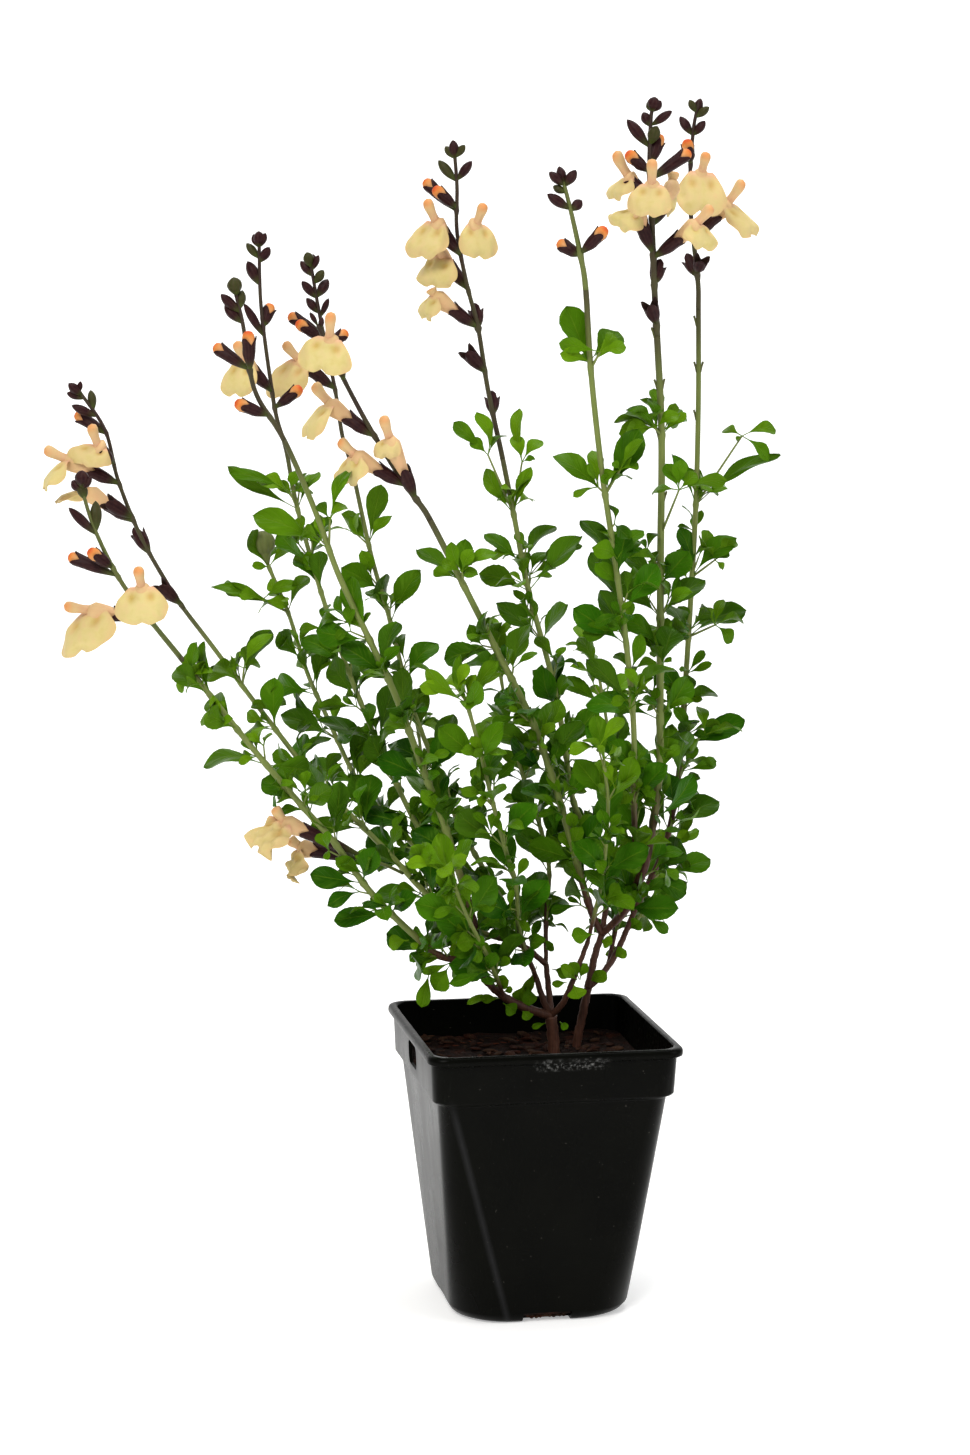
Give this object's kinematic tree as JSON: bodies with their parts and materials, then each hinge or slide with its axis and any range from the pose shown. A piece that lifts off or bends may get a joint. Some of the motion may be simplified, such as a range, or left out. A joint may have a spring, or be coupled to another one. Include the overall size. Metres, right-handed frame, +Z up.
{
  "type": "potted flowering salvia",
  "caption": "Shrubby perennial sage with small green leaves and slim dark flower spikes of cream hooded flowers, growing in a square black nursery pot of bark compost.",
  "frame": {"origin": "middle of the pot's flat underside, which stands on the ground", "axes": "+Z up along the pot's upright middle line; X and Y square to the pot's sides, with the face that has the shallow bare recess at -Y"},
  "size_m": [0.3976, 0.2347, 0.6381],
  "materials": {
    "pot_plastic": "satin",
    "bark_compost": "matte",
    "woody_bark": "matte",
    "leafy_green": "satin",
    "dark_spike": "matte",
    "cream_petal": "matte"
  },
  "bodies": {
    "root": {"crown_left": "woody_bark", "crown_right": "woody_bark", "flower_centre_back_1": "cream_petal", "flower_centre_back_2": "cream_petal", "flower_centre_back_3": "cream_petal", "flower_centre_back_4": "cream_petal", "flower_far_left_1": "cream_petal", "flower_far_left_2": "cream_petal", "flower_far_left_3": "cream_petal", "flower_left_1": "cream_petal", "flower_left_2": "cream_petal", "flower_left_back_1": "cream_petal", "flower_low_left_1": "cream_petal", "flower_low_left_2": "cream_petal", "flower_main_1": "cream_petal", "flower_main_2": "cream_petal", "flower_main_3": "cream_petal", "flower_main_4": "cream_petal", "flower_right_back_1": "cream_petal", "flower_right_back_2": "cream_petal", "flower_right_tall_1": "cream_petal", "flower_right_tall_2": "cream_petal", "flower_right_tall_3": "cream_petal", "flower_right_tall_4": "cream_petal", "flower_right_tall_5": "cream_petal", "flower_thin_back_1": "cream_petal", "pot": "pot_plastic", "soil": "bark_compost", "spike_bud_stem": "dark_spike", "spike_centre_back": "dark_spike", "spike_far_left": "dark_spike", "spike_left": "dark_spike", "spike_left_back": "dark_spike", "spike_left_tall": "dark_spike", "spike_low_left": "dark_spike", "spike_main": "dark_spike", "spike_right_back": "dark_spike", "spike_right_tall": "dark_spike", "spike_thin_back": "dark_spike", "stem_bud_stem": "leafy_green", "stem_centre_back": "leafy_green", "stem_centre_rear": "leafy_green", "stem_far_left": "leafy_green", "stem_left": "leafy_green", "stem_left_back": "leafy_green", "stem_left_rear": "leafy_green", "stem_left_tall": "leafy_green", "stem_light_front": "leafy_green", "stem_low_front": "leafy_green", "stem_low_right": "leafy_green", "stem_main": "leafy_green", "stem_right_back": "leafy_green", "stem_right_front": "leafy_green", "stem_right_rear": "leafy_green", "stem_right_tall": "leafy_green", "stem_seed_head": "leafy_green", "stem_thin_back": "leafy_green"}
  },
  "joints": []
}
